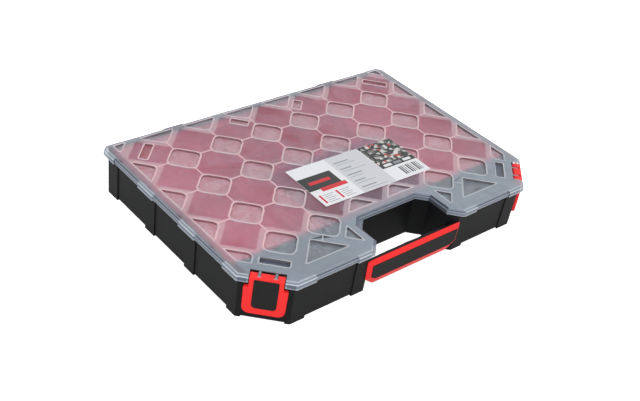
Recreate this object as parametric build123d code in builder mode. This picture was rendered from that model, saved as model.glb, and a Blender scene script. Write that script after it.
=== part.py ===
from build123d import *
import os
from math import atan2, cos, degrees, hypot, pi, radians, sin, tan

os.makedirs("parts", exist_ok=True)

# Tool organizer box: a black case with a see-through lid hinged at the back, ten lift-out bins,
# a fixed carrying handle across a recess in the front and a latch on each cut-off front corner.
# X runs along the handle side, +Y towards the hinges, +Z up, the feet stand on z = 0.

# Overall sizes
LID_W = 400.0             # over the rim tabs, left to right
LID_D = 280.0             # over the rim tabs, front to back
LID_TOP = 54.4            # flat top of the lid
HINGE_OUT = 6.0           # the hinge knuckles stand out this far behind the lid
YC = -HINGE_OUT / 2       # middle of the lid, so that the whole box is centred on the origin
FRONT = YC - LID_D / 2
BACK = YC + LID_D / 2

# Outline of the lid rim
CORNER_CUT = 40.4         # front corners, where the latches are
BACK_CUT = 6.7            # back corners
MOUTH = 63.2              # half width of the handle recess at the front edge
RECESS = 50.4             # half width of the handle recess
MOUTH_CUT = MOUTH - RECESS
RECESS_D = 49.4           # depth of the handle recess
RECESS_CUT = 9.9          # its back corners

# Lid
SHEET = 2.0               # top sheet
LEDGE = 1.8               # ledge under the sheet that carries the rim
SHEET_IN = 3.0            # edge of the top sheet, in from the tabs
RECESS_SHEET_IN = 3.2     # the same in the handle recess
RIM_IN = 1.0              # outer face of the rim between the tabs
RIM_WALL = 3.2            # inner face of the rim, in from the tabs
RECESS_RIM_WALL = 2.0
RIM_Z = 48.2              # lower edge of the rim
TAB_Z = 47.2              # lower edge of the tabs
TAB_RISE = 0.1            # the skirt ends this far above the underside of the top sheet
RECESS_STEP = 0.2         # the skirt of the recess steps back by this below RIM_Z
TAB_SIDE = 26.5           # tabs between the stretches of plain rim: along the sides
TAB_FRONT = 21.1          # at the front end of each side
TAB_BACK = 20.3           # at its back end
TAB_CORNER = 23.1         # on the front edge beside the corners
TAB_MOUTH = 20.8          # on the front edge beside the recess
TAB_BACK_END = 15.3       # on the back edge beside the corners
TAB_BACK_X = (34.0, 60.0) # the two tabs on the back edge, from the middle
LIP_Z = 48.9              # lower edge of the dust lip inside the case wall
LIP_T = 1.4
LIP_PLAY = 0.5
LIP_END = 14.0            # the lip ends short of the hinge side
BEAD = 0.5                # raised lines round the pockets
BEAD_W = 1.6
POCKET_D = 2.0
POCKET_FLOOR = 1.6

# Pattern of pockets in the lid; what is given as in is measured in from the tabs
PITCH = 54.4
ROW_IN = 6.1              # middles of the half diamonds along the back
DIAMOND = 33.0            # over the raised line
DIAMOND_R = 4.6
TUB_R = 2.5               # cut corners of the pockets seen from below
CHORDS = 2                # flats in each round corner of a pocket
FIELD_SIDE_IN = 10.6      # straight edges of the field of pockets
FIELD_BACK_IN = 5.6
FIELD_FRONT_IN = 28.0
FIELD_RECESS_IN = 9.8     # behind the handle recess
FIELD_STEP_IN = 5.6       # beside it
FIELD_CUT = 18.1          # at the front corners
CORNER_POCKET = 17.7
LONG_BAR = (32.0, 11.7)
SHORT_BAR = (22.4, 12.2)
BAR_R = 1.5
BACK_BAR_IN = (36.0, 31.1)        # long bar near a back corner
FRONT_BAR_IN = (41.0, 35.7)       # long bar behind a latch
MID_BAR_X = 41.7                  # short bars near the back, from the middle
MID_BAR_IN = 28.5
WEDGE_IN = (91.7, 17.8)           # big front triangle: middle and base line
WEDGE_HALF = 29.5
RIB_AT = (-11.7, 23.0)            # short rib from it to the next diamond, from its base
RIB_L = 10.0
SLIVER_IN = (10.6, 31.1)          # small triangle beside the recess
SLIVER_HALF = 16.0
LINK_LAP = 1.2            # the links between the diamonds run this far into their raised lines

# Case
WALL = 2.0
WALL_TOP = 50.2
LATCH_WALL_TOP = 46.5     # the wall is lower behind the latches
DRAFT = 0.8               # the walls lean in by this much at the bottom
PILASTER_IN = 4.6         # outer face of the pilasters at the top, in from the tabs
PANEL_STEP = 1.0          # the panels stand back between the pilasters
PILASTER_SIDE = 16.5      # pilasters between the panels of a side
PILASTER_FRONT = 15.6     # at the front end of a side
PILASTER_BACK = 20.3      # at its back end
PILASTER_CORNER = 20.1    # on the front beside the corners
PILASTER_MOUTH = 16.8     # on the front beside the recess
PILASTER_BACK_END = 21.3  # on the back beside the corners
PILASTER_HINGE = 1.6      # beside a hinge
PILASTER_MIDDLE = 18.0    # in the middle of the back
RECESS_IN = 3.4           # walls of the handle recess
FLOOR_Z = 4.0             # upper side of the floor
FOOT_H = 2.0
FOOT_W = 7.0
LATCH_FOOT = 21.0         # the feet end this far from the middle of a latch corner
DIVIDER_T = 2.2           # wall in front of the bins
DIVIDER_GAP = 1.0         # between it and the wall of the recess
DIVIDER_TOP = 48.5
CATCH = (28.5, 0.7, 2.4)  # low ridge on the wall behind each latch: length, height, width
CATCH_Z = 24.0

# Bins
BIN_TOP = 48.5
BIN_WALL = 1.3
BIN_GAP = 0.4
BIN_DRAFT = 0.9
WIDE_BIN = 113.8
BIN_R = 4.4
BIN_CHORDS = 2
BIN_FOOT = 2.5            # slope between floor and wall

# Hinges
HINGE_X = 110.0
HINGE_R = 3.4
HINGE_IN = HINGE_R - HINGE_OUT
HINGE_Z = 44.0
HINGE_PIN_R = 1.5
LID_KNUCKLE = 24.0
CASE_KNUCKLE = 12.0
HINGE_ARM = (2.0, 1.0)    # the lid's hinge arms start this far inside and outside its back edge
HINGE_NECK = 0.1          # their faces meet the knuckle this far inside its sides
BRACKET_Z = (36.0, 45.6)  # root of the case's brackets
KNUCKLE_GAP = 0.4
RUNNING = 0.05            # radial play of a pin in the part that turns on it
SEAT = 0.02               # radial play of a pin in the part that holds it

# Latches, in the frame of a cut-off corner: x along the corner, y into the box, z up
LATCH_FRONT = 0.3
LATCH_T = 3.5
ARM_W = 32.5
PLATE_W = 42.0
PLATE_TOP = 42.2
PLATE_BOTTOM = 11.0
PLATE_TAPER = 0.7
PLATE_R = (7.0, 1.5)      # bottom and top corners
PLATE_LAP = 1.0           # arm and plate run into each other by this much
PANEL_CHORDS = 4          # flats in each round corner of a plate, inlay or grip
AXIS_Y = 5.2
AXIS_Z = 51.3
LATCH_PIN_R = 1.0
LATCH_PIN_L = 31.0
BLOCK_UP = 2.8            # the block reaches this far above the pin
BLOCK_OUT = 4.5           # this far behind it
BLOCK_DOWN = 3.8          # and this far below it
BLOCK_R = (2.6, 2.0)      # its back corners and its top front corner
BLOCK_CHORDS = 3
EAR_X = 7.7
EAR_W = 2.6
EAR_R = 2.2
EAR_NOSE = 1.3            # bevel of the end of an ear and of its slot
EAR_PLAY = 0.4
EAR_ROOM = 0.4
EAR_SWING = 0.9           # the slots for the ears lean out by this much above the pin
EAR_ROOT = 0.5            # the ears run this far into the wall of the notch
INLAY_W = 23.8
INLAY_TOP = 51.4
INLAY_BOTTOM = 17.8
INLAY_R = (4.0, 1.5)
INLAY_DEPTH = 1.4
INLAY_PROUD = 0.2
INLAY_PLAY = 0.1
NOTCH_W = 34.0            # notch of the lid round the latch
NOTCH_D = 11.2
NOTCH_WALL = 1.7
NOTCH_FLOOR = 43.9
NOTCH_SHELF = 7.4         # its floor starts behind the case wall
NOTCH_PLAY = 0.8
NOTCH_GAP = 0.3           # between the floor of the notch and the case wall
WINDOW = (8.0, 0.65, 4.4) # sunk panel in the tab on each side of a latch
WINDOW_X = 22.8

# Handle
HANDLE_Y = FRONT + 4.4    # front of the bar, where the red surround sits
HANDLE_TOP = 38.7
HANDLE_BOTTOM = 6.3
HANDLE_HALF = 66.1        # half length at the top
HANDLE_TAPER = 0.8        # shorter by this at each end of the bottom
HANDLE_CUT = (12.4, 9.4)  # slanting lower corners
HANDLE_R = (8.0, 2.5)     # rounding below the slant, and of the upper corners
BEVEL = 3.1               # the surround stands this far in front of the bar
GRIP_HALF = 61.4          # the same for its front face
GRIP_TOP = 33.8
GRIP_BOTTOM = 14.2
GRIP_CUT = (7.0, 3.8)
GRIP_R = (4.0, 2.0)
GRIP_RIM = 0.6
GRIP_SEAT = 1.6
GRIP_PROUD = 0.4
GRIP_PLAY = 0.1
BAR_TOP = 38.2
BAR_BOTTOM = 7.0
BAR_END = 4.9             # depth of the bar at its ends
BAR_MIDDLE = 5.9
BAR_ROUND = 3.0
BAR_LAP = 0.4             # the bar runs this far into the walls of the recess

# Web with a hanging hole in the recess
WEB_W = 7.2
WEB_T = 2.0
WEB_Z = 47.6
WEB_HOLE = 3.0
WEB_HOLE_IN = 0.9

# Label
LABEL = (148.5, 69.0, 0.3)
LABEL_AT = (15.2, -28.5)
LABEL_TURN = -1.3


def shifted(corners, distances):
    """A counterclockwise polygon with each side moved inwards by its own distance."""
    lines = []
    for i, (x0, y0) in enumerate(corners):
        x1, y1 = corners[(i + 1) % len(corners)]
        length = hypot(x1 - x0, y1 - y0)
        nx, ny = (y0 - y1) / length, (x1 - x0) / length
        lines.append((nx, ny, nx * x0 + ny * y0 + distances[i]))
    points = []
    for i, (a2, b2, c2) in enumerate(lines):
        a1, b1, c1 = lines[i - 1]
        det = a1 * b2 - a2 * b1
        points.append(((c1 * b2 - c2 * b1) / det, (a1 * c2 - a2 * c1) / det))
    return points


def mirrored(half):
    """A closed outline from its right half."""
    return half + [(-x, y) for x, y in reversed(half)]


rim = mirrored([
    (RECESS - RECESS_CUT, FRONT + RECESS_D), (RECESS, FRONT + RECESS_D - RECESS_CUT),
    (RECESS, FRONT + MOUTH_CUT), (MOUTH, FRONT), (LID_W / 2 - CORNER_CUT, FRONT),
    (LID_W / 2, FRONT + CORNER_CUT), (LID_W / 2, BACK - BACK_CUT), (LID_W / 2 - BACK_CUT, BACK),
])
kinds = ["recess"] * 3 + ["outer", "latch", "outer", "back cut", "outer", "back cut", "outer", "latch",
                          "outer"] + ["recess"] * 4


def outline(outer, recess, latch, back_cut=None):
    """The rim outline with its outer, recess and corner sides moved inwards."""
    step = {"outer": outer, "recess": recess, "latch": latch,
            "back cut": outer if back_cut is None else back_cut}
    return shifted(rim, [step[kind] for kind in kinds])


def recess_area(inset):
    """The handle recess, widened by inset and open to the front."""
    points = outline(0, inset, 0)
    x, y = points[3]
    return points[:4] + [(x, y - inset), (-x, y - inset)] + points[-4:]


def bays(low, high, before, after, count=1, between=0.0):
    """Start and length of equal bays between two points of an edge, with what stands beside them."""
    length = (high - low - before - after - (count - 1) * between) / count
    return [(low + before + i * (length + between), length) for i in range(count)]


def on_edges(edges, edge_bays):
    """Bays with the edge that they are on and where its plane starts."""
    return [(edge, start + length if edge in ("left", "back") else start, length)
            for edge in edges for start, length in edge_bays]


def both_ways(edge_bays):
    """Bays together with their mirror images."""
    return edge_bays + [(-start - length, length) for start, length in edge_bays]


def face(points, z=0.0):
    """A flat face at height z."""
    with BuildSketch(Plane.XY.offset(z)) as sketch:
        Polygon(*points, align=None)
    return sketch.sketch


def tilted(x, y, length, width, turn=0.0):
    """Corners of a rectangle turned about its middle, counterclockwise."""
    c, s = cos(radians(turn)), sin(radians(turn))
    return [(x + c * a - s * b, y + s * a + c * b)
            for a, b in ((-length / 2, -width / 2), (length / 2, -width / 2),
                         (length / 2, width / 2), (-length / 2, width / 2))]


def eased(corners, radii, chords):
    """A counterclockwise polygon with each corner of a radius turned into chords of an arc."""
    points = []
    for i, ((x, y), radius) in enumerate(zip(corners, radii)):
        (xa, ya), (xb, yb) = corners[i - 1], corners[(i + 1) % len(corners)]
        start, end = atan2(y - ya, x - xa), atan2(yb - y, xb - x)
        turn = (end - start + pi) % (2 * pi) - pi
        reach = radius * tan(turn / 2)
        cx = x - reach * cos(start) - radius * sin(start)
        cy = y - reach * sin(start) + radius * cos(start)
        for k in range(chords + 1 if radius else 1):
            heading = start + turn * k / chords
            points.append((cx + radius * sin(heading), cy - radius * cos(heading)))
    return points


def edge_plane(edge, start):
    """Plane across a straight outer edge: x into the box, y up, z along the edge."""
    if edge == "left":
        return Plane(origin=(-LID_W / 2, YC + start, 0), x_dir=(1, 0, 0), z_dir=(0, -1, 0))
    if edge == "right":
        return Plane(origin=(LID_W / 2, YC + start, 0), x_dir=(-1, 0, 0), z_dir=(0, 1, 0))
    if edge == "front":
        return Plane(origin=(start, FRONT, 0), x_dir=(0, 1, 0), z_dir=(1, 0, 0))
    return Plane(origin=(start, BACK, 0), x_dir=(0, -1, 0), z_dir=(-1, 0, 0))


def corner_frame(side, x=0.0, y=0.0, z=0.0):
    """Frame of a cut-off front corner: x along it, y into the box."""
    middle = (side * (LID_W - CORNER_CUT) / 2, FRONT + CORNER_CUT / 2, 0)
    frame = Plane(origin=middle, x_dir=(1, side, 0), z_dir=(0, 0, 1))
    return Plane(origin=frame.from_local_coords((x, y, z)), x_dir=frame.x_dir, z_dir=frame.z_dir)


def across(side, x):
    """Plane across a front corner: x into the box, y up, z along the corner."""
    frame = corner_frame(side, x)
    return Plane(origin=frame.origin, x_dir=frame.y_dir, z_dir=frame.x_dir)


def facing(side, y):
    """Upright plane along a front corner, y deep in the box, looking outwards."""
    frame = corner_frame(side, 0, y)
    return Plane(origin=frame.origin, x_dir=frame.x_dir, z_dir=-frame.y_dir)


def panel(plane, half, bottom, top, radii, taper=0.0):
    """Upright face with rounded corners, given as the radii of its bottom and top corners."""
    corners = [(taper - half, bottom), (half - taper, bottom), (half, top), (-half, top)]
    low, high = radii
    with BuildSketch(plane) as sketch:
        Polygon(*eased(corners, [low, low, high, high], PANEL_CHORDS), align=None)
    return sketch.sketch


def handle_face(y, half, bottom, top, cut, radii=(0, 0)):
    """Upright face across the handle at depth y, looking to the front, its lower corners cut off."""
    taper = HANDLE_TAPER * (top - bottom - cut[1]) / (HANDLE_TOP - HANDLE_BOTTOM)
    corners = [(cut[0] - half, bottom), (half - cut[0], bottom), (half - taper, bottom + cut[1]),
               (half, top), (-half, top), (taper - half, bottom + cut[1])]
    low, high = radii
    with BuildSketch(Plane(origin=(0, y, 0), x_dir=(1, 0, 0), z_dir=(0, -1, 0))) as sketch:
        Polygon(*eased(corners, [low, low, 0, high, high, 0], PANEL_CHORDS), align=None)
    return sketch.sketch


def bin_outline(x, y, width, depth, radius):
    """Outline of a bin at its rim."""
    return face(eased(tilted(x, y, width, depth), [radius] * 4, BIN_CHORDS), BIN_TOP)


half_hinge = LID_KNUCKLE / 2 + KNUCKLE_GAP + CASE_KNUCKLE

# recessed panels of the case
side_run = (-LID_D / 2 + CORNER_CUT, LID_D / 2 - BACK_CUT)
front_run = (MOUTH, LID_W / 2 - CORNER_CUT)
outer_run = (HINGE_X + half_hinge, LID_W / 2 - BACK_CUT)
panels = on_edges(["left", "right"], bays(*side_run, PILASTER_FRONT, PILASTER_BACK, 3, PILASTER_SIDE))
panels += on_edges(["front"], both_ways(bays(*front_run, PILASTER_MOUTH, PILASTER_CORNER)))
panels += on_edges(["back"], both_ways(bays(*outer_run, PILASTER_HINGE, PILASTER_BACK_END)
                                       + bays(0, HINGE_X - half_hinge, PILASTER_MIDDLE / 2,
                                              PILASTER_HINGE)))

# plain rim of the lid between its tabs
rims = on_edges(["left", "right"], bays(*side_run, TAB_FRONT, TAB_BACK, 3, TAB_SIDE))
rims += on_edges(["front"], both_ways(bays(*front_run, TAB_MOUTH, TAB_CORNER)))
rims += on_edges(["back"], both_ways(bays(TAB_BACK_X[1], outer_run[1], 0, TAB_BACK_END))
                 + [(-TAB_BACK_X[0], 2 * TAB_BACK_X[0])])

sides = {"left": -1, "right": 1}

# inner faces of the case wall at its top
inner = PILASTER_IN + PANEL_STEP + WALL
inner_recess = RECESS_IN + WALL
inner_latch = PILASTER_IN + WALL
recess_back = FRONT + RECESS_D + inner_recess
divider_y = recess_back + DIVIDER_GAP + DIVIDER_T

# Carrying bar across the mouth of the recess, a little deeper in the middle
with BuildPart() as bar:
    ends_x = MOUTH - (HANDLE_Y - FRONT) + RECESS_IN * 2 ** 0.5 + BAR_LAP
    back_x = ends_x - BAR_END
    with BuildSketch(Plane.XY.offset(BAR_BOTTOM)):
        with BuildLine():
            Polyline((-back_x, HANDLE_Y + BAR_END), (-ends_x, HANDLE_Y), (ends_x, HANDLE_Y),
                     (back_x, HANDLE_Y + BAR_END))
            ThreePointArc((back_x, HANDLE_Y + BAR_END), (0, HANDLE_Y + BAR_MIDDLE),
                          (-back_x, HANDLE_Y + BAR_END))
        make_face()
    extrude(amount=BAR_TOP - BAR_BOTTOM)
    fillet(bar.edges().filter_by(GeomType.CIRCLE), BAR_ROUND)
    # its lower corners slant like those of the surround
    extrude(handle_face(HANDLE_Y, HANDLE_HALF, BAR_BOTTOM, BAR_TOP, HANDLE_CUT),
            amount=-2 * BAR_MIDDLE, mode=Mode.INTERSECT)

# Case
with BuildPart() as case:
    loft([face(outline(PILASTER_IN + DRAFT, RECESS_IN + DRAFT, PILASTER_IN + DRAFT), 0),
          face(outline(PILASTER_IN, RECESS_IN, PILASTER_IN), WALL_TOP)], ruled=True)
    # raised floor inside a ring of feet
    foot_in = PILASTER_IN + DRAFT + FOOT_W
    extrude(face(outline(foot_in, foot_in, foot_in, foot_in + FOOT_W / 4)), amount=FOOT_H,
            mode=Mode.SUBTRACT)
    for side in sides.values():
        with Locations(corner_frame(side, 0, foot_in / 2)):
            Box(2 * LATCH_FOOT, 2 * foot_in, 2 * FOOT_H, mode=Mode.SUBTRACT)
    top_in = PILASTER_IN + PANEL_STEP
    for edge, start, length in panels:
        with BuildSketch(edge_plane(edge, start)):
            Polygon((-1, -1), (foot_in + 1, -1), (foot_in + 1, FOOT_H), (top_in + DRAFT, FOOT_H),
                    (top_in, WALL_TOP), (top_in, WALL_TOP + 1), (-1, WALL_TOP + 1), align=None)
        extrude(amount=length, mode=Mode.SUBTRACT)
    # hollow
    loft([face(outline(inner + DRAFT, inner_recess + DRAFT, inner_latch + DRAFT), FLOOR_Z),
          face(outline(inner, inner_recess, inner_latch), WALL_TOP)],
         ruled=True, mode=Mode.SUBTRACT)
    # wall between the bins and the two front compartments, thicker behind the handle recess
    with Locations((0, divider_y, FLOOR_Z)):
        Box(LID_W - 2 * inner + WALL, DIVIDER_T, DIVIDER_TOP - FLOOR_Z,
            align=(Align.CENTER, Align.MAX, Align.MIN))
        Box(2 * (RECESS - RECESS_CUT), divider_y - recess_back + WALL / 2, DIVIDER_TOP - FLOOR_Z,
            align=(Align.CENTER, Align.MAX, Align.MIN))
    # room for the latches and for the notches of the lid, and a low catch ridge behind each latch
    for side in sides.values():
        with Locations(corner_frame(side, 0, PILASTER_IN, LATCH_WALL_TOP)):
            Box(CORNER_CUT * 2 ** 0.5, 2 * (WALL + DRAFT), WALL_TOP - LATCH_WALL_TOP + 1,
                mode=Mode.SUBTRACT, align=(Align.CENTER, Align.CENTER, Align.MIN))
        with Locations(corner_frame(side, 0, PILASTER_IN, NOTCH_FLOOR - NOTCH_GAP)):
            Box(NOTCH_W + 2 * (NOTCH_WALL + NOTCH_PLAY), 2 * (WALL + DRAFT), WALL_TOP - NOTCH_FLOOR + 1,
                mode=Mode.SUBTRACT, align=(Align.CENTER, Align.CENTER, Align.MIN))
        with Locations(corner_frame(side, 0, PILASTER_IN + DRAFT / 2, CATCH_Z)):
            Box(CATCH[0], 2 * CATCH[1], CATCH[2])
    add(bar.part)
    # hinge brackets
    for x in (-HINGE_X, HINGE_X):
        for end in (x + half_hinge, x + half_hinge - CASE_KNUCKLE - LID_KNUCKLE - 2 * KNUCKLE_GAP):
            with BuildSketch(edge_plane("back", end)):
                Polygon((inner - WALL / 2, BRACKET_Z[0]), (inner - WALL / 2, BRACKET_Z[1]),
                        (HINGE_IN, HINGE_Z + HINGE_R), (HINGE_IN, HINGE_Z - HINGE_R), align=None)
                with Locations((HINGE_IN, HINGE_Z)):
                    Circle(HINGE_R)
                    Circle(HINGE_PIN_R + SEAT, mode=Mode.SUBTRACT)
            extrude(amount=CASE_KNUCKLE)
case.part.label = "case"
export_step(case.part, "parts/case.step")

# Handle: red surround with a bevelled edge, and the grip pad set into it
handle_front = HANDLE_Y - BEVEL


def pad(y, play):
    """Face of the grip pad at depth y, smaller by play all round."""
    rim_w = GRIP_RIM + play
    return handle_face(y, GRIP_HALF - rim_w, GRIP_BOTTOM + rim_w, GRIP_TOP - rim_w, GRIP_CUT,
                       [r - GRIP_RIM for r in GRIP_R])


with BuildPart() as handle_surround:
    loft([handle_face(HANDLE_Y, HANDLE_HALF, HANDLE_BOTTOM, HANDLE_TOP, HANDLE_CUT, HANDLE_R),
          handle_face(handle_front, GRIP_HALF, GRIP_BOTTOM, GRIP_TOP, GRIP_CUT, GRIP_R)], ruled=True)
    extrude(pad(handle_front, 0), amount=-GRIP_SEAT, mode=Mode.SUBTRACT)
handle_surround.part.label = "handle_surround"
export_step(handle_surround.part, "parts/handle_surround.step")

with BuildPart() as handle_grip:
    extrude(pad(handle_front + GRIP_SEAT, GRIP_PLAY), amount=GRIP_SEAT + GRIP_PROUD)
    chamfer(handle_grip.faces().sort_by(Axis.Y)[0].edges(), GRIP_PROUD * 0.75)
handle_grip.part.label = "handle_grip"
export_step(handle_grip.part, "parts/handle_grip.step")

# Bins: two rows of a wide bin at each end with three narrow ones between
zone_w = LID_W - 2 * inner
zone_d = BACK - inner - divider_y
narrow_bin = (zone_w - 2 * WIDE_BIN - 6 * BIN_GAP) / 3
bin_d = (zone_d - 3 * BIN_GAP) / 2
bin_floor = FLOOR_Z + BIN_WALL
bin_rim = Plane.XY.offset(BIN_TOP)
lean = degrees(atan2(BIN_DRAFT, BIN_TOP - FLOOR_Z))
for row, row_name in enumerate(("front", "back")):
    y = divider_y + BIN_GAP + bin_d / 2 + row * (bin_d + BIN_GAP)
    left = -zone_w / 2
    for column, width in enumerate((WIDE_BIN, narrow_bin, narrow_bin, narrow_bin, WIDE_BIN)):
        x = left + BIN_GAP + width / 2
        left += BIN_GAP + width
        with BuildPart() as bin_box:
            extrude(bin_outline(x, y, width, bin_d, BIN_R), amount=FLOOR_Z - BIN_TOP)
            draft(bin_box.faces().filter_by(Axis.Z, reverse=True), bin_rim, -lean)
            extrude(bin_outline(x, y, width - 2 * BIN_WALL, bin_d - 2 * BIN_WALL, BIN_R - BIN_WALL),
                    amount=bin_floor + BIN_FOOT - BIN_TOP, mode=Mode.SUBTRACT)
            draft(bin_box.faces(Select.LAST).filter_by(Axis.Z, reverse=True), bin_rim, lean)
            # slope down to the floor
            low = bin_box.faces().filter_by(Axis.Z).sort_by(Axis.Z)[1]
            extrude(low, amount=-BIN_FOOT, mode=Mode.SUBTRACT)
            draft(bin_box.faces(Select.LAST).filter_by(Axis.Z, reverse=True), Plane(low), 45)
        bin_box.part.label = f"bin_{row_name}_{column + 1}"
        export_step(bin_box.part, f"parts/{bin_box.part.label}.step")

# Lid
field_x = LID_W / 2 - FIELD_SIDE_IN
field_back = BACK - FIELD_BACK_IN
field_front = FRONT + FIELD_FRONT_IN
first_row = BACK - ROW_IN
columns = round((field_x + DIAMOND / 4) / PITCH)
rows = int((first_row - field_front + DIAMOND / 4) / PITCH) + 1
diamonds = [((i + 0.5) * PITCH, first_row - j * PITCH)
            for i in range(-columns, columns) for j in range(rows) if j or -columns < i < columns - 1]
diagonal = LID_W / 2 - FRONT - CORNER_CUT - FIELD_CUT * 2 ** 0.5
field = mirrored([(RECESS + FIELD_STEP_IN, FRONT + RECESS_D + FIELD_RECESS_IN),
                  (RECESS + FIELD_STEP_IN, field_front), (diagonal + field_front, field_front),
                  (field_x, field_x - diagonal), (field_x, field_back)])
back_bar = (LID_W / 2 - BACK_BAR_IN[0], BACK - BACK_BAR_IN[1])
front_bar = (LID_W / 2 - FRONT_BAR_IN[0], FRONT + FRONT_BAR_IN[1])
mid_bar = (MID_BAR_X, BACK - MID_BAR_IN)
wedge_x, wedge_y = LID_W / 2 - WEDGE_IN[0], FRONT + WEDGE_IN[1]
wedge = [(wedge_x - WEDGE_HALF, wedge_y), (wedge_x + WEDGE_HALF, wedge_y),
         (wedge_x, wedge_y + WEDGE_HALF)]
sliver_x, sliver_y = RECESS + SLIVER_IN[0], FRONT + SLIVER_IN[1]
sliver = [(sliver_x, sliver_y - SLIVER_HALF), (sliver_x + SLIVER_HALF, sliver_y),
          (sliver_x, sliver_y + SLIVER_HALF)]
nook = [(field_x - CORNER_POCKET, field_back), (field_x, field_back - CORNER_POCKET),
        (field_x, field_back)]


def pockets(z, inset, diamond_r, bar_r, chords):
    """Outlines of all pockets of the lid, smaller by inset all round."""
    with BuildSketch() as half:
        for (x, y), (length, width), turn in ((back_bar, LONG_BAR, -45), (front_bar, LONG_BAR, 45),
                                              (mid_bar, SHORT_BAR, 45)):
            corners = tilted(x, y, length - 2 * inset, width - 2 * inset, turn)
            Polygon(*eased(corners, [bar_r] * 4, 1), align=None)
        for corners in (wedge, sliver, nook):
            Polygon(*eased(shifted(corners, [inset] * 3), [bar_r] * 3, chords), align=None)
        mirror(about=Plane.YZ)
    size = DIAMOND - 2 * inset
    with BuildSketch(Plane.XY.offset(z)) as sketch:
        with Locations(*diamonds):
            Polygon(*eased(tilted(0, 0, size, size, 45), [diamond_r] * 4, chords), align=None)
        Polygon(*shifted(field, [inset] * len(field)), align=None, mode=Mode.INTERSECT)
        add(half.sketch)
    return sketch.sketch


under = LID_TOP - SHEET
tab_top = under + TAB_RISE
with BuildPart() as lid:
    # skirt with its sloping top, and the hollow below it
    extrude(face(outline(0, 0, 0), TAB_Z), amount=tab_top - TAB_Z)
    loft([face(outline(0, 0, 0), tab_top),
          face(outline(SHEET_IN, RECESS_SHEET_IN, SHEET_IN), LID_TOP)], ruled=True)
    extrude(face(outline(RIM_WALL, RECESS_RIM_WALL, RIM_WALL), TAB_Z), amount=under - LEDGE - TAB_Z,
            mode=Mode.SUBTRACT)
    ledge_in = SHEET_IN + LEDGE
    extrude(face(outline(ledge_in, ledge_in, ledge_in), TAB_Z), amount=under - TAB_Z, mode=Mode.SUBTRACT)
    # stepped rim between the tabs and round the handle recess
    for edge, start, length in rims:
        with BuildSketch(edge_plane(edge, start)):
            Polygon((-1, TAB_Z - 1), (RIM_WALL + 1, TAB_Z - 1), (RIM_WALL + 1, RIM_Z), (RIM_IN, RIM_Z),
                    (RIM_IN, under), (SHEET_IN, under), (SHEET_IN, LID_TOP + 1), (-1, LID_TOP + 1),
                    align=None)
        extrude(amount=length, mode=Mode.SUBTRACT)
    extrude(face(recess_area(RECESS_SHEET_IN), under), amount=SHEET + 1, mode=Mode.SUBTRACT)
    extrude(face(recess_area(RECESS_RIM_WALL + RECESS_STEP), TAB_Z), amount=RIM_Z - TAB_Z,
            mode=Mode.SUBTRACT)
    # dust lip inside the case wall, left out along the hinges
    lip = [inner + LIP_PLAY, inner_recess + LIP_PLAY, inner_latch + LIP_PLAY]
    with BuildSketch(Plane.XY.offset(LIP_Z)):
        Polygon(*outline(*lip), align=None)
        Polygon(*outline(*[d + LIP_T for d in lip]), align=None, mode=Mode.SUBTRACT)
        with Locations((0, BACK)):
            Rectangle(LID_W, 2 * LIP_END, mode=Mode.SUBTRACT)
    extrude(amount=under - LIP_Z)
    # pockets with their raised lines, and the links between them
    extrude(pockets(LID_TOP - POCKET_D - POCKET_FLOOR, 0, TUB_R, BAR_R, 1),
            amount=POCKET_D + POCKET_FLOOR - SHEET / 2)
    extrude(pockets(LID_TOP - SHEET / 2, 0, DIAMOND_R, BAR_R, CHORDS), amount=SHEET / 2 + BEAD)
    extrude(pockets(LID_TOP - POCKET_D, BEAD_W, DIAMOND_R - BEAD_W, BAR_R / 2, CHORDS),
            amount=POCKET_D + BEAD, mode=Mode.SUBTRACT)
    tip = DIAMOND / 2 ** 0.5 - DIAMOND_R * (2 ** 0.5 - 1)
    link = PITCH - 2 * tip + 2 * LINK_LAP
    with BuildSketch(Plane.XY.offset(LID_TOP)):
        with Locations(*[(i * PITCH, first_row - j * PITCH)
                         for i in range(1 - columns, columns) for j in range(1, rows - 1)]):
            Rectangle(link, BEAD_W)
        with Locations(*[((i + 0.5) * PITCH, first_row - (j + 0.5) * PITCH)
                         for i in range(1 - columns, columns - 1) for j in range(rows - 1)]):
            Rectangle(BEAD_W, link)
        for side in sides.values():
            with Locations((side * (wedge_x + RIB_AT[0]), wedge_y + RIB_AT[1])):
                Rectangle(RIB_L, BEAD_W, rotation=-45 * side)
    extrude(amount=BEAD)
    # walled notches for the latches, with an ear on each side of the middle
    for side in sides.values():
        box_w = NOTCH_W + 2 * NOTCH_WALL
        for y, z in ((RIM_WALL, NOTCH_FLOOR), (NOTCH_SHELF, NOTCH_FLOOR - NOTCH_WALL)):
            with Locations(corner_frame(side, 0, y, z)):
                Box(box_w, NOTCH_D + NOTCH_WALL - y, under - z, align=(Align.CENTER, Align.MIN, Align.MIN))
        with Locations(corner_frame(side, 0, NOTCH_D, NOTCH_FLOOR)):
            Box(NOTCH_W, 2 * NOTCH_D, LID_TOP - NOTCH_FLOOR + 1, mode=Mode.SUBTRACT,
                align=(Align.CENTER, Align.MAX, Align.MIN))
        for x in (-EAR_X, EAR_X):
            with BuildSketch(across(side, x - EAR_W / 2)):
                root = NOTCH_D + EAR_ROOT - AXIS_Y
                with Locations((AXIS_Y, AXIS_Z)):
                    Polygon(*eased([(-EAR_R, -EAR_R), (root, -EAR_R), (root, EAR_R), (-EAR_R, EAR_R)],
                                   [EAR_NOSE, 0, 0, EAR_NOSE], 1), align=None)
                    Circle(LATCH_PIN_R + SEAT, mode=Mode.SUBTRACT)
            extrude(amount=EAR_W)
        for x in (-WINDOW_X, WINDOW_X):
            with Locations(corner_frame(side, x, 0, (TAB_Z + tab_top) / 2)):
                Box(WINDOW[0], 2 * WINDOW[1], WINDOW[2], mode=Mode.SUBTRACT)
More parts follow.
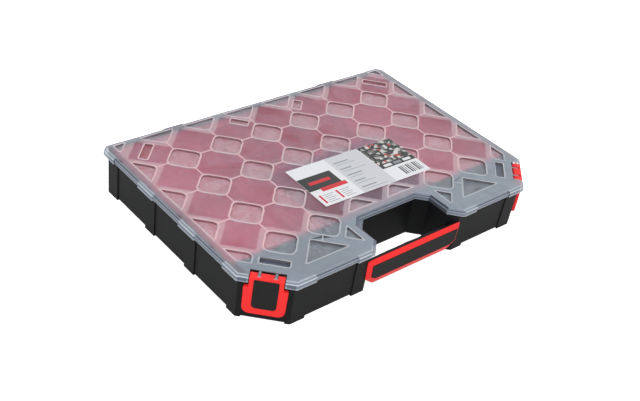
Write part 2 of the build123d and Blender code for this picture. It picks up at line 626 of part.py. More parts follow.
    # hinge arms
    for x in (-HINGE_X, HINGE_X):
        with BuildSketch(edge_plane("back", x + LID_KNUCKLE / 2)):
            neck = HINGE_R - HINGE_NECK
            Polygon((HINGE_ARM[0], under), (-HINGE_ARM[1], under), (HINGE_IN - neck, HINGE_Z + 1),
                    (HINGE_IN, HINGE_Z), (HINGE_IN + neck, HINGE_Z + 1), (HINGE_ARM[0], RIM_Z),
                    align=None)
            with Locations((HINGE_IN, HINGE_Z)):
                Circle(HINGE_R)
                Circle(HINGE_PIN_R + RUNNING, mode=Mode.SUBTRACT)
        extrude(amount=LID_KNUCKLE)
    # small web with a hanging hole in one back corner of the recess
    x, y = -RECESS, FRONT + RECESS_D
    web_middle = (RECESS_CUT + WEB_W) / 2 - WEB_HOLE_IN
    with BuildSketch(Plane.XY.offset(WEB_Z)):
        with BuildLine():
            Polyline((x - 1, y - RECESS_CUT - WEB_W), (x - 1, y - RECESS_CUT), (x + RECESS_CUT, y + 1),
                     (x + RECESS_CUT + WEB_W, y + 1), close=True)
        make_face()
        with Locations((x + web_middle, y - web_middle)):
            Circle(WEB_HOLE / 2, mode=Mode.SUBTRACT)
    extrude(amount=WEB_T)
lid.part.label = "lid"
export_step(lid.part, "parts/lid.step")

# Printed card on the lid
with BuildPart() as label_card:
    with BuildSketch(Plane.XY.offset(LID_TOP + BEAD)):
        with Locations((LABEL_AT[0], YC + LABEL_AT[1])):
            Rectangle(LABEL[0], LABEL[1], rotation=LABEL_TURN)
    extrude(amount=LABEL[2])
label_card.part.label = "label_card"
export_step(label_card.part, "parts/label_card.step")

# Latches: frame, inlay and pin
latch_back = LATCH_FRONT + LATCH_T
block_back = AXIS_Y + BLOCK_OUT
block_top = AXIS_Z + BLOCK_UP
block_bottom = AXIS_Z - BLOCK_DOWN
arm_foot = PLATE_TOP - PLATE_LAP
room = EAR_R + EAR_ROOM
behind = BLOCK_OUT + 1
for name, side in sides.items():
    with BuildPart() as latch:
        with BuildSketch(across(side, -ARM_W / 2)):
            Polygon(*eased([(LATCH_FRONT, arm_foot), (latch_back, arm_foot), (latch_back, block_bottom),
                            (block_back, block_bottom), (block_back, block_top),
                            (LATCH_FRONT, block_top)],
                           [0, 0, 0, BLOCK_R[0], BLOCK_R[0], BLOCK_R[1]], BLOCK_CHORDS), align=None)
        extrude(amount=ARM_W)
        extrude(panel(facing(side, latch_back), PLATE_W / 2, PLATE_BOTTOM, PLATE_TOP, PLATE_R,
                      PLATE_TAPER), amount=LATCH_T)
        extrude(panel(facing(side, LATCH_FRONT), INLAY_W / 2, INLAY_BOTTOM, INLAY_TOP, INLAY_R),
                amount=-INLAY_DEPTH, mode=Mode.SUBTRACT)
        # slots for the ears of the lid, open towards the top for the latch to swing
        for x in (-EAR_X, EAR_X):
            with BuildSketch(across(side, x - EAR_W / 2 - EAR_PLAY)):
                with Locations((AXIS_Y, AXIS_Z)):
                    Polygon((EAR_NOSE - room, -room), (behind, -room), (behind, 2 * room),
                            (-room - EAR_SWING, 2 * room), (-room, 0), (-room, EAR_NOSE - room),
                            align=None)
            extrude(amount=EAR_W + 2 * EAR_PLAY, mode=Mode.SUBTRACT)
        with BuildSketch(across(side, -ARM_W / 2)):
            with Locations((AXIS_Y, AXIS_Z)):
                Circle(LATCH_PIN_R + RUNNING)
        extrude(amount=ARM_W, mode=Mode.SUBTRACT)
    latch.part.label = f"latch_{name}"
    export_step(latch.part, f"parts/latch_{name}.step")

    with BuildPart() as latch_inlay:
        extrude(panel(facing(side, LATCH_FRONT + INLAY_DEPTH), INLAY_W / 2 - INLAY_PLAY,
                      INLAY_BOTTOM + INLAY_PLAY, INLAY_TOP - INLAY_PLAY, INLAY_R),
                amount=INLAY_DEPTH + INLAY_PROUD)
    latch_inlay.part.label = f"latch_{name}_inlay"
    export_step(latch_inlay.part, f"parts/latch_{name}_inlay.step")

    with BuildPart() as latch_pin:
        with BuildSketch(across(side, -LATCH_PIN_L / 2)):
            with Locations((AXIS_Y, AXIS_Z)):
                Circle(LATCH_PIN_R)
        extrude(amount=LATCH_PIN_L)
    latch_pin.part.label = f"latch_{name}_pin"
    export_step(latch_pin.part, f"parts/latch_{name}_pin.step")

# Hinge pins
for name, side in sides.items():
    with BuildPart() as hinge_pin:
        with BuildSketch(edge_plane("back", side * HINGE_X + half_hinge)):
            with Locations((HINGE_IN, HINGE_Z)):
                Circle(HINGE_PIN_R)
        extrude(amount=2 * half_hinge)
    hinge_pin.part.label = f"hinge_pin_{name}"
    export_step(hinge_pin.part, f"parts/hinge_pin_{name}.step")
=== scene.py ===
import math

import bmesh
import bpy
from mathutils import Matrix, Vector


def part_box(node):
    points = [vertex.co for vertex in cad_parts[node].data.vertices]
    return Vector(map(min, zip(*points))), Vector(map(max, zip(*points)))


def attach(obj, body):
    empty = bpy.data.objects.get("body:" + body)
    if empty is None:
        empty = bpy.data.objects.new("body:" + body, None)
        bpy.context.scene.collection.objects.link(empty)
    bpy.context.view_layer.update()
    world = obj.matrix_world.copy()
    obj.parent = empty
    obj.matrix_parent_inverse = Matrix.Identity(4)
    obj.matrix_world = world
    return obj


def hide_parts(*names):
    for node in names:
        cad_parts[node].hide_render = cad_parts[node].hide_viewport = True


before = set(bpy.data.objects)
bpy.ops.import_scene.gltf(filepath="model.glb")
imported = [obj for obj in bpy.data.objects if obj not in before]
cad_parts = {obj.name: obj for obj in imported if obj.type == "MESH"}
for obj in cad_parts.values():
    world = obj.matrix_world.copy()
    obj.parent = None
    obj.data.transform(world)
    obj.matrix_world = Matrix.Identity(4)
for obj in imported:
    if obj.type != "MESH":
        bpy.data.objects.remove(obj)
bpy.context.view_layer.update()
scene = bpy.context.scene

# Black case body: polypropylene, injection moulded in a finely eroded mould, with recessed wall
# panels between upright ribs and the carrying bar across the front recess. Its grain scatters the
# light, so the black looks soft grey where it faces the lamps and nearly flat in the shade.


def srgb(code):
    """Linear colour from an sRGB hex value."""
    values = [int(code[i:i + 2], 16) / 255 for i in (1, 3, 5)]
    linear = [v / 12.92 if v <= 0.04045 else ((v + 0.055) / 1.055) ** 2.4 for v in values]
    return (*linear, 1.0)


def add_node(tree, kind, settings=None, *inputs, **links):
    """Adds a node. Settings are its properties and the values of named sockets. Inputs are numbers,
    sockets or nodes for its sockets in order. A link is named after its socket, spaces as
    underscores. A node given as input or link stands for its first output."""
    node = tree.nodes.new(kind)
    for key, value in (settings or {}).items():
        if hasattr(node, key):
            setattr(node, key, value)
        else:
            node.inputs[key].default_value = value
    plugs = [*zip(node.inputs, inputs)]
    plugs += [(node.inputs[key.replace("_", " ")], value) for key, value in links.items()]
    for socket, value in plugs:
        if isinstance(value, (int, float)):
            socket.default_value = value
        else:
            tree.links.new(value.outputs[0] if isinstance(value, bpy.types.Node) else value, socket)
    return node


def plastic(name, colour, roughness, grain_mm, grain_height_mm, tint=0.06, shine=0.5):
    """Moulded plastic: one colour with faint flow marks, and the grain of the mould as a bump."""
    material = bpy.data.materials.new(name)
    material.use_nodes = True
    tree = material.node_tree
    shader = tree.nodes["Principled BSDF"]
    shader.inputs["Roughness"].default_value = roughness
    shader.inputs["IOR"].default_value = 1.49
    shader.inputs["Specular IOR Level"].default_value = shine
    place = add_node(tree, "ShaderNodeTexCoord").outputs["Object"]
    flow = add_node(tree, "ShaderNodeTexNoise", {"Scale": 30.0, "Detail": 3.0}, Vector=place)
    shades = add_node(tree, "ShaderNodeValToRGB", Fac=flow)
    base = srgb(colour)[:3]
    shades.color_ramp.elements[0].color = (*[c * (1 - tint) for c in base], 1)
    shades.color_ramp.elements[1].color = (*[min(c * (1 + tint), 1) for c in base], 1)
    tree.links.new(shades.outputs["Color"], shader.inputs["Base Color"])
    grain = add_node(tree, "ShaderNodeTexNoise", {"Scale": 1000 / grain_mm, "Detail": 4.0},
                     Vector=place)
    bump = add_node(tree, "ShaderNodeBump", {"Strength": 0.6, "Distance": grain_height_mm / 1000},
                    Height=grain)
    tree.links.new(bump.outputs["Normal"], shader.inputs["Normal"])
    return material


def broken_edges(node, body, material, edge_mm, angle=35):
    """A copy of a CAD node with its sharp edges rounded, as they leave a mould."""
    piece = bpy.data.objects.new(node + "_moulding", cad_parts[node].data.copy())
    scene.collection.objects.link(piece)
    shape = bmesh.new()
    shape.from_mesh(piece.data)
    bmesh.ops.remove_doubles(shape, verts=shape.verts, dist=2e-6)
    bmesh.ops.dissolve_limit(shape, angle_limit=math.radians(0.5), verts=shape.verts,
                             edges=shape.edges)
    shape.to_mesh(piece.data)
    shape.free()
    piece.data.materials.clear()
    piece.data.materials.append(material)
    piece.data.shade_smooth()
    piece.data.set_sharp_from_angle(angle=math.radians(angle))
    edge = piece.modifiers.new("broken edges", "BEVEL")
    edge.width = edge_mm / 1000
    edge.segments = 2
    edge.limit_method = "ANGLE"
    edge.angle_limit = math.radians(angle)
    edge.harden_normals = True
    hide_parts(node)
    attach(piece, body)
    return piece


case_black = plastic("moulded black polypropylene", "#101113", 0.55, 0.6, 0.05, 0.06, 0.18)
broken_edges("case", "base", case_black, 0.35)

# Lift-out bins: red polypropylene tubs, injection moulded, thin walled and smooth inside. Their
# floors and walls throw the light back up, which colours the lid together with a painted red glow
# in the lid's tints over the bins.
bin_red = plastic("moulded red polypropylene", "#DC2F48", 0.42, 1.2, 0.03)
for row in ("front", "back"):
    for number in range(1, 6):
        broken_edges(f"bin_{row}_{number}", "base", bin_red, 0.3)

# Handle: a smooth red surround with sloping sides, moulded in ABS, round the carrying bar, and a
# black rubber grip pad let into it. The pad's coarse grain sparkles a little in the light.
handle_red = plastic("moulded red ABS", "#F02C2C", 0.4, 2.0, 0.01, 0.02, 0.2)
grip_black = plastic("grained black rubber", "#121413", 0.62, 0.9, 0.16, 0.25, 0.25)
broken_edges("handle_surround", "base", handle_red, 0.4)
broken_edges("handle_grip", "base", grip_black, 0.2)

# Latches: red ABS frames that swing on steel pins in the lid, each with a black rubber inlay. They
# have the smooth red and the grained black of the handle.
for side in ("left", "right"):
    latch = f"latch_{side}"
    broken_edges(latch, latch, handle_red, 0.35)
    broken_edges(f"{latch}_inlay", latch, grip_black, 0.15)

# Hinge and latch pins: steel wire, drawn and cut to length, pressed into the knuckles. Drawing
# leaves it bright, with fine marks.
steel = bpy.data.materials.new("drawn steel wire")
steel.use_nodes = True
tree = steel.node_tree
shader = tree.nodes["Principled BSDF"]
shader.inputs["Metallic"].default_value = 1.0
shader.inputs["Roughness"].default_value = 0.3
place = add_node(tree, "ShaderNodeTexCoord").outputs["Object"]
drawn = add_node(tree, "ShaderNodeTexNoise", {"Scale": 900.0, "Detail": 2.0}, Vector=place)
shades = add_node(tree, "ShaderNodeValToRGB", Fac=drawn)
shades.color_ramp.elements[0].color = srgb("#9A9C9F")
shades.color_ramp.elements[1].color = srgb("#C4C6C8")
tree.links.new(shades.outputs["Color"], shader.inputs["Base Color"])
for name in ("latch_left_pin", "latch_right_pin", "hinge_pin_left", "hinge_pin_right"):
    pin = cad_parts[name]
    pin.data.materials.clear()
    pin.data.materials.append(steel)

# Lid: one moulding of clear polypropylene. The sheet between the pockets is smooth over the bins,
# where the red glows through, helped by a painted red glow in its tints, and frosted along the
# sides and over the front. The pocket floors are sandblasted and the raised lines look pale. The
# walls of the pockets and parts of the rim are darkened with painted shade, and the rim carries
# painted highlights along its edges.
lid = broken_edges("lid", "lid", case_black, 0.2, 40)
lid_top = 0.0544
raised = 0.0005             # height of the lines round the pockets
sunk = 0.002                # depth of the pockets
half_pitch = 0.0272         # from a diamond to the staggered next one, both ways
first_row = 0.1309          # y of the middles of the last row of diamonds
columns = 7                 # half pitches from the middle to the straight sides of the field
rows = 8                    # half pitches from the first row to the front one
arc_at = 0.016828           # middle of a diamond's corner arcs, from the middle of the diamond
link_half_w = 0.0008        # the lines between the diamonds
near = 2e-5                 # a vertex this close to an arc belongs to it
arc_end = 0.7               # cosine of the angle between the middle and the ends of an arc

# the corners of the diamonds get wider arcs, and the raised lines round them grow a little outwards
shape = bmesh.new()
shape.from_mesh(lid.data)
upper = [v for v in shape.verts if v.co.z > lid_top - 1.2 * sunk]
middles = [((2 * i + 1) * half_pitch, first_row - 2 * j * half_pitch)
           for i in range(-4, 4) for j in range(5)]
middles += [(2 * i * half_pitch, first_row - (2 * j + 1) * half_pitch)
            for i in range(-4, 5) for j in range(5)]
for middle in middles:
    for way in ((1, 0), (-1, 0), (0, 1), (0, -1)):
        way = Vector(way)
        hub = Vector(middle) + arc_at * way
        for radius, wanted, outwards in ((0.003, 0.0055, 0), (0.0046, 0.0075, 0.0003)):
            new_hub = hub - way * (wanted - radius - outwards) * 2 ** 0.5
            for vertex in upper:
                out = vertex.co.xy - hub
                if abs(out.length - radius) > near or out.dot(way) < arc_end * radius:
                    continue
                across = out - out.dot(way) * way
                if abs(across.length - link_half_w) > near:
                    across *= wanted / radius
                along = way * (wanted ** 2 - across.length_squared) ** 0.5
                vertex.co.xy = new_hub + across + along
shape.to_mesh(lid.data)
shape.free()


def clear_plastic(name, colour, seen, passed, roughness, mottle_mm=0.0, mottle=0.0):
    """Clear plastic: seen is the share of light that goes straight through, passed the share of the
    rest that goes through blurred; what is left is scattered back. Mottle varies both shares."""
    material = bpy.data.materials.new(name)
    material.use_nodes = True
    tree = material.node_tree
    shader = tree.nodes["Principled BSDF"]
    shader.inputs["Base Color"].default_value = srgb(colour)
    shader.inputs["IOR"].default_value = 1.49
    shader.inputs["Roughness"].default_value = roughness
    shader.inputs["Transmission Weight"].default_value = passed
    shader.inputs["Alpha"].default_value = 1 - seen
    if mottle:
        place = add_node(tree, "ShaderNodeTexCoord").outputs["Object"]
        spots = add_node(tree, "ShaderNodeTexNoise",
                         {"Scale": 1000 / mottle_mm, "Detail": 4.0, "Roughness": 0.65,
                          "Distortion": 1.2}, Vector=place)
        for socket, low, high in (("Transmission Weight", passed - mottle, passed + mottle),
                                  ("Alpha", 1 - seen + mottle / 2, 1 - seen - mottle / 2)):
            share = add_node(tree, "ShaderNodeMapRange",
                             {"From Min": 0.38, "From Max": 0.62, "To Min": low, "To Max": high},
                             spots)
            tree.links.new(share.outputs["Result"], shader.inputs[socket])
        bump = add_node(tree, "ShaderNodeBump", {"Strength": 0.8, "Distance": 0.0002},
                        Height=spots)
        tree.links.new(bump.outputs["Normal"], shader.inputs["Normal"])
    return material


bins_front = {"interpolation_type": "SMOOTHSTEP", "From Min": -0.087, "From Max": -0.083}


def tint_with_painted_glow(material, front, over_bins):
    """The plastic is bluish over the front and, over the bins, warmed by a painted red glow."""
    tree = material.node_tree
    place = add_node(tree, "ShaderNodeTexCoord").outputs["Object"]
    depth = add_node(tree, "ShaderNodeSeparateXYZ", Vector=place).outputs["Y"]
    share = add_node(tree, "ShaderNodeMapRange", bins_front, depth)
    shades = add_node(tree, "ShaderNodeValToRGB", Fac=share)
    shades.color_ramp.elements[0].color = srgb(front)
    shades.color_ramp.elements[1].color = srgb(over_bins)
    tree.links.new(shades.outputs["Color"], tree.nodes["Principled BSDF"].inputs["Base Color"])
    return material


# the sheet: clear inside the field of diamonds and over the bins, and frosted elsewhere; over the
# bins its tint carries a painted red glow
sheet = tint_with_painted_glow(clear_plastic("clear polypropylene, sheet", "#D6D2E4", 0.4, 0.72, 0.4),
                  "#BCC9D9", "#DCD2DE")
tree = sheet.node_tree
shader = tree.nodes["Principled BSDF"]
place = add_node(tree, "ShaderNodeTexCoord").outputs["Object"]
parts = add_node(tree, "ShaderNodeSeparateXYZ", Vector=place)
subtract, absolute = {"operation": "SUBTRACT"}, {"operation": "ABSOLUTE"}
add, least, most = {"operation": "ADD"}, {"operation": "MINIMUM"}, {"operation": "MAXIMUM"}
from_last_row = add_node(tree, "ShaderNodeMath", subtract, parts.outputs["Y"], first_row)
from_column = add_node(tree, "ShaderNodeMath", subtract, parts.outputs["X"], half_pitch)
to_row, to_column = (add_node(tree, "ShaderNodeMath", {"operation": "PINGPONG"}, way, half_pitch)
                     for way in (from_last_row, from_column))
from_middle = add_node(tree, "ShaderNodeMath", absolute, parts.outputs["X"])
past_side = add_node(tree, "ShaderNodeMath", subtract, from_middle, columns * half_pitch)
past_front = add_node(tree, "ShaderNodeMath", subtract, parts.outputs["Y"],
                      first_row - rows * half_pitch)
to_side, to_back, to_front = (add_node(tree, "ShaderNodeMath", absolute, way)
                              for way in (past_side, from_last_row, past_front))
side_gap = add_node(tree, "ShaderNodeMath", add, to_side, to_row)
back_gap = add_node(tree, "ShaderNodeMath", add, to_back, to_column)
front_gap = add_node(tree, "ShaderNodeMath", add, to_front, to_column)
end_gap = add_node(tree, "ShaderNodeMath", least, back_gap, front_gap)
from_border = add_node(tree, "ShaderNodeMath", least, side_gap, end_gap)
inside = add_node(tree, "ShaderNodeMapRange",
                  {"interpolation_type": "SMOOTHSTEP", "From Min": 0.029, "From Max": 0.0318},
                  from_border)
over_bins = add_node(tree, "ShaderNodeMapRange", bins_front, parts.outputs["Y"])
smooth = add_node(tree, "ShaderNodeMath", {"operation": "MULTIPLY"}, inside, over_bins)
clouds = add_node(tree, "ShaderNodeTexNoise", {"Scale": 26.0, "Detail": 2.0, "Distortion": 0.4},
                  Vector=place)
drift = add_node(tree, "ShaderNodeMapRange",
                 {"From Min": 0.35, "From Max": 0.65, "To Min": -0.16, "To Max": 0.16}, clouds)
for socket, frosted, clear in (("Alpha", 0.75, 0.6), ("Transmission Weight", 0.44, 0.72)):
    share = add_node(tree, "ShaderNodeMapRange", {"To Min": frosted, "To Max": clear}, smooth)
    varied = add_node(tree, "ShaderNodeMath", add, share, drift)
    tree.links.new(varied.outputs[0], shader.inputs[socket])

# its margins along the sides and the back: painted shade, a duller grey for the shadow of the case
# wall that stands close under them; of the sockets of a Mix node, 6 and 7 are the two colours that
# are mixed, and 2 is the result
lid_half_w, lid_front, lid_back = 0.2, -0.143, 0.137
past_edge = add_node(tree, "ShaderNodeMath", subtract, from_middle, lid_half_w)
past_back = add_node(tree, "ShaderNodeMath", subtract, parts.outputs["Y"], lid_back)
beyond = add_node(tree, "ShaderNodeMath", most, past_edge, past_back)
shaded_margin = add_node(tree, "ShaderNodeMapRange",
                  {"interpolation_type": "SMOOTHSTEP", "From Min": -0.012, "From Max": -0.008},
                  beyond)
tints = shader.inputs["Base Color"].links[0].from_socket
for share, colour in ((smooth, "#D8D6F4"), (shaded_margin, "#A8ACBA")):
    mix = add_node(tree, "ShaderNodeMix", {"data_type": "RGBA"}, share)
    tree.links.new(tints, mix.inputs[6])
    mix.inputs[7].default_value = srgb(colour)
    tints = mix.outputs[2]
tree.links.new(tints, shader.inputs["Base Color"])

# the rim: dull, with painted highlights, pale lines at the heights of its edges, and painted shade,
# darker bands below its steps
rim = clear_plastic("clear polypropylene, rim", "#929CAA", 0.12, 0.12, 0.45)
tree = rim.node_tree
place = add_node(tree, "ShaderNodeTexCoord").outputs["Object"]
height = add_node(tree, "ShaderNodeSeparateXYZ", Vector=place).outputs["Z"]
level = add_node(tree, "ShaderNodeMapRange", {"From Min": 0.047, "From Max": 0.055}, height)
# pale and dark bands by height: painted highlights and painted shade
lines = add_node(tree, "ShaderNodeValToRGB", Fac=level)
for at, colour in ((0.02, "#D8E0E8"), (0.12, "#8A94A2"), (0.17, "#C8D0DA"), (0.26, "#7E8898"),
                   (0.60, "#7E8898"), (0.65, "#DCE4EC"), (0.70, "#DCE4EC"), (0.75, "#88929F"),
                   (0.86, "#929CAA"), (0.91, "#D8E0E8")):
    lines.color_ramp.elements.new(at).color = srgb(colour)
tree.links.new(lines.outputs["Color"], tree.nodes["Principled BSDF"].inputs["Base Color"])

underside = clear_plastic("clear polypropylene, underside", "#F4F6F8", 0.9, 0.9, 0.2)
# over the bins, the sandblasted floors, the raised lines and the smooth pockets carry the same
# painted red glow
sandblasted = tint_with_painted_glow(clear_plastic("clear polypropylene, sandblasted", "#E0DEEC", 0.26, 0.56,
                                      0.4, 4.5, 0.13), "#BCC8D6", "#E0DEEC")
raised_line = tint_with_painted_glow(clear_plastic("clear polypropylene, raised line", "#FAF2F8", 0.22, 0.4,
                                      0.45), "#E4ECF4", "#FAF2F8")
# pocket walls, rim steps and the rim's inner faces: darker and duller, which is painted shade
pocket_wall_shade = clear_plastic("clear polypropylene, pocket wall, painted shade", "#8C868E", 0.2, 0.35, 0.4)
rim_step_shade = clear_plastic("clear polypropylene, step of the rim, painted shade", "#626C7E", 0.15, 0.1, 0.3)
rim_inside_shade = clear_plastic("clear polypropylene, inside of the rim, painted shade", "#4A5058", 0.2, 0.2, 0.4)
smooth_pocket = tint_with_painted_glow(clear_plastic("clear polypropylene, smooth pocket", "#D4DCEC", 0.42,
                                        0.74, 0.3), "#A8B8DC", "#D4DCEC")
finishes = (underside, sheet, sandblasted, raised_line, pocket_wall_shade, rim_step_shade, rim, rim_inside_shade,
            smooth_pocket)
lid.data.materials.clear()
for finish in finishes:
    lid.data.materials.append(finish)

# each face gets its finish by its height, its slope and how near it lies to the rim
rim_w = 0.0045
corner_cut = 0.0404         # the cut-off front corners
recess_half_w, recess_back, mouth_cut = 0.0504, -0.0936, 0.0128
bars = (0.164, 0.1059), (0.159, -0.1073)    # middles of the long bar pockets
bar_reach = 0.004
latch_step = (0.0004, 0.0009)               # where the rim steps back over a latch
above_lines = lid_top + 0.1 * raised
above_sheet = lid_top - 0.1 * sunk
above_pockets = lid_top - 1.1 * sunk
for face in lid.data.polygons:
    x, y, height = abs(face.center.x), face.center.y, face.center.z
    corner = (lid_half_w - x + y - lid_front - corner_cut) * 0.5 ** 0.5
    from_rim = min(lid_half_w - x, lid_back - y, y - lid_front, corner,
                   max(x - recess_half_w, y - recess_back))
    if y < lid_front + mouth_cut:
        mouth = (x - recess_half_w - mouth_cut + y - lid_front) * 0.5 ** 0.5
        from_rim = min(from_rim, mouth)
    up = face.normal.z
    if up < -0.5:
        finish = underside
    elif up > 0.9 and height > above_lines:
        finish = raised_line
    elif up > 0.9 and height > above_sheet:
        finish = sheet
    elif up > 0.9 and height > above_pockets:
        if any(math.dist((x, y), bar) < bar_reach for bar in bars):
            finish = smooth_pocket
        else:
            # pocket floors close to the rim get the darker step finish: painted shade
            finish = sandblasted if from_rim > rim_w else rim_step_shade
    elif height > above_lines:
        finish = raised_line
    # pocket walls get a darker finish: painted shade
    elif height > lid_top - sunk and from_rim > rim_w:
        finish = pocket_wall_shade
    # inner faces of the rim, and its step over a latch, get darker finishes: painted shade
    elif up < 0.5 and from_rim < rim_w and face.normal.dot(face.center) < -0.05:    # faces inwards
        finish = rim_inside_shade
    elif up < 0.5 and latch_step[0] < corner < latch_step[1]:
        finish = rim_step_shade
    elif from_rim < rim_w or up > 0.2:
        finish = rim
    else:
        finish = underside
    face.material_index = finishes.index(finish)

# Printed card on the lid: coated paper, offset printed and laid loose on the sheet, a little askew.
# Its print is plain fields, bars and stripes, in layers too thin to see from the side.
card_low, card_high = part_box("label_card")
card_mid = (card_low + card_high) / 2
card_turn = math.radians(-1.3)
card_w, card_d = 0.1485, 0.069
print_t = 0.00004
white, light, dark, red, grey, speckled = range(6)
paper_inks = (("coated white paper", "#DADBDE"), ("light grey print", "#C2C4C9"),
              ("dark print", "#2A2E2E"), ("red print", "#C82A34"), ("mid grey print", "#84888C"))


def field(shape, left, front, right, back, layer, ink):
    """A printed rectangle on the card, placed in millimetres from its front left corner."""
    middle = Vector(((left + right) / 2000 - card_w / 2, (front + back) / 2000 - card_d / 2,
                     card_high.z + (layer - 0.5) * print_t))
    size = ((right - left) / 1000, (back - front) / 1000, print_t, 1)
    block = bmesh.ops.create_cube(shape, size=1.0, matrix=Matrix.Translation(middle)
                                  @ Matrix.Diagonal(size))
    for face in {f for v in block["verts"] for f in v.link_faces}:
        face.material_index = ink


card_shape = bmesh.new()
bmesh.ops.create_cube(card_shape, size=1.0, matrix=Matrix.Translation((0, 0, card_mid.z))
                      @ Matrix.Diagonal((card_w, card_d, card_high.z - card_low.z, 1)))
field(card_shape, 52, 0.5, 98, 68.5, 1, light)
field(card_shape, 0.2, 27, 44, 50, 1, dark)
field(card_shape, 8, 36, 36, 41, 2, red)
field(card_shape, 14, 22, 48, 28, 2, red)
for i in range(5):
    field(card_shape, 56, 8 + 12 * i, 76 - 5 * (i % 2), 9.6 + 12 * i, 2, grey)
    field(card_shape, 56, 4 + 12 * i, 88 - 7 * (i % 3), 4.6 + 12 * i, 2, grey)
for column in (0, 22):
    field(card_shape, 4 + column, 4, 6.5 + column, 18, 1, red)
    for i in range(5):
        field(card_shape, 9 + column, 4 + 3 * i, 22 + column - 3 * (i % 2), 4.7 + 3 * i, 1, grey)
field(card_shape, 99, 32, 148.3, 68.8, 1, speckled)
field(card_shape, 99, 24, 148.3, 32, 1, dark)
for left, ink in ((104, white), (118, grey), (132, white)):
    field(card_shape, left, 26, left + 11, 30, 2, ink)
for i in range(9):
    field(card_shape, 117 + 3.2 * i, 5, 119 + 3.2 * i - 0.6 * (i % 3), 20, 1, dark)
bmesh.ops.transform(card_shape, verts=card_shape.verts,
                    matrix=Matrix.Translation((card_mid.x, card_mid.y, 0))
                    @ Matrix.Rotation(card_turn, 4, "Z"))
card = bpy.data.objects.new("printed_card", bpy.data.meshes.new("printed_card"))
scene.collection.objects.link(card)
card_shape.to_mesh(card.data)
card_shape.free()
for name, colour in paper_inks:
    card.data.materials.append(plastic(name, colour, 0.35, 3.0, 0.004, 0.015, 0.3))

# the speckled print: rounded squares 3.4 mm apart, in greys with a little red
speckle = plastic("speckled print", "#FFFFFF", 0.3, 3.0, 0.004, 0.0, 0.3)
tree = speckle.node_tree
place = add_node(tree, "ShaderNodeTexCoord").outputs["Object"]
items = add_node(tree, "ShaderNodeTexVoronoi",
                 {"distance": "MINKOWSKI", "Scale": 1000 / 3.4, "Exponent": 4.0,
                  "Randomness": 0.7}, Vector=place)
pick = add_node(tree, "ShaderNodeSeparateColor", Color=items.outputs["Color"])
tones = add_node(tree, "ShaderNodeValToRGB", Fac=pick.outputs["Red"])
tones.color_ramp.interpolation = "CONSTANT"
tones.color_ramp.elements[0].color = srgb("#2A2E2E")
tones.color_ramp.elements[1].color = srgb("#2A2E2E")
for at, colour in ((0.35, "#6C6A68"), (0.48, "#A4A2A0"), (0.6, "#3A3C3C"), (0.78, "#A8443C"),
                   (0.86, "#C8C8C6")):
    tones.color_ramp.elements.new(at).color = srgb(colour)
tree.links.new(tones.outputs["Color"], tree.nodes["Principled BSDF"].inputs["Base Color"])
card.data.materials.append(speckle)
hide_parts("label_card")
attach(card, "lid")

# Floor and surroundings: a plain white surface in a white studio. What the camera, a mirroring face
# or the lid shows of them is white, and the light that they throw on the case is less.
floor_mesh = bmesh.new()
bmesh.ops.create_grid(floor_mesh, x_segments=1, y_segments=1, size=6.0)
floor = bpy.data.objects.new("floor", bpy.data.meshes.new("floor"))
floor_mesh.to_mesh(floor.data)
floor_mesh.free()
scene.collection.objects.link(floor)
floor_white = bpy.data.materials.new("white floor")
floor_white.use_nodes = True
tree = floor_white.node_tree
shader = tree.nodes["Principled BSDF"]
shader.inputs["Base Color"].default_value = srgb("#E8E8E8")
shader.inputs["Roughness"].default_value = 0.9


def shown_or_lit(tree, shown, lit, output):
    """Surroundings look like shown to rays from the camera, a mirroring face or the lid. To other
    rays, which only light the object, they look like lit."""
    rays = add_node(tree, "ShaderNodeLightPath").outputs
    sent = add_node(tree, "ShaderNodeMath", most, rays["Is Glossy Ray"],
                    rays["Is Transmission Ray"])
    seen = add_node(tree, "ShaderNodeMath", most, rays["Is Camera Ray"], sent)
    choice = add_node(tree, "ShaderNodeMixShader", None, seen, lit, shown)
    tree.links.new(choice.outputs["Shader"], output.inputs["Surface"])


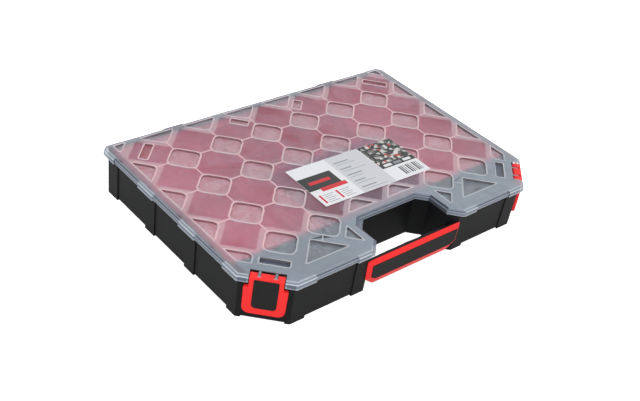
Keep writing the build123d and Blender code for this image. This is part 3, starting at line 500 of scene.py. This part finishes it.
rays = add_node(tree, "ShaderNodeLightPath").outputs
glow = add_node(tree, "ShaderNodeMapRange", {"To Min": 0.15, "To Max": 0.75},
                rays["Is Camera Ray"])
shine = add_node(tree, "ShaderNodeEmission", {"Color": (1, 1, 1, 1)}, Strength=glow)
white_shown = add_node(tree, "ShaderNodeAddShader", None, shader, shine)
shown_or_lit(tree, white_shown, shader, tree.nodes["Material Output"])
floor.data.materials.append(floor_white)

world = bpy.data.worlds.new("studio")
world.use_nodes = True
scene.world = world
tree = world.node_tree
background = tree.nodes["Background"]
background.inputs["Color"].default_value = (1, 1, 1, 1)
background.inputs["Strength"].default_value = 0.75
backdrop = add_node(tree, "ShaderNodeBackground", {"Color": (1, 1, 1, 1), "Strength": 1.0})
shown_or_lit(tree, backdrop, background, tree.nodes["World Output"])

# Lamps: two wide soft boxes that look at the middle of the case, a key from the front left and a
# weak fill from the right.
for name, spot, size, watts in (("key", (-0.9, -1.1, 1.6), 1.2, 18.0),
                                ("fill", (1.2, 0.3, 1.5), 1.4, 4.0)):
    lamp = bpy.data.objects.new(name, bpy.data.lights.new(name, "AREA"))
    lamp.data.size = size
    lamp.data.energy = watts
    lamp.location = spot
    lamp.rotation_euler = (-Vector(spot)).to_track_quat("-Z", "Y").to_euler()
    scene.collection.objects.link(lamp)

# Camera: placed as in the photograph, seen from the front left and above, slightly rolled. Its
# focal length is given in pixels of a picture that is 640 wide.
camera_place = (-0.64295, -0.62524, 0.62609)
focal_px, picture_px = 985.15, 640
azimuth, elevation, roll = (math.radians(v) for v in (-45.60, 34.92, 9.61))
back = Vector((math.sin(azimuth) * math.cos(elevation), -math.cos(azimuth) * math.cos(elevation),
               math.sin(elevation)))
level_right = (-back).cross(Vector((0, 0, 1))).normalized()
level_up = level_right.cross(-back)
right = math.cos(roll) * level_right + math.sin(roll) * level_up
up = -math.sin(roll) * level_right + math.cos(roll) * level_up
camera = bpy.data.objects.new("camera", bpy.data.cameras.new("camera"))
camera.matrix_world = (Matrix.Translation(camera_place)
                       @ Matrix((right, up, back)).transposed().to_4x4())
camera.data.sensor_width = 36.0
camera.data.lens = focal_px / picture_px * camera.data.sensor_width
scene.collection.objects.link(camera)
scene.camera = camera
scene.view_settings.view_transform = "Standard"
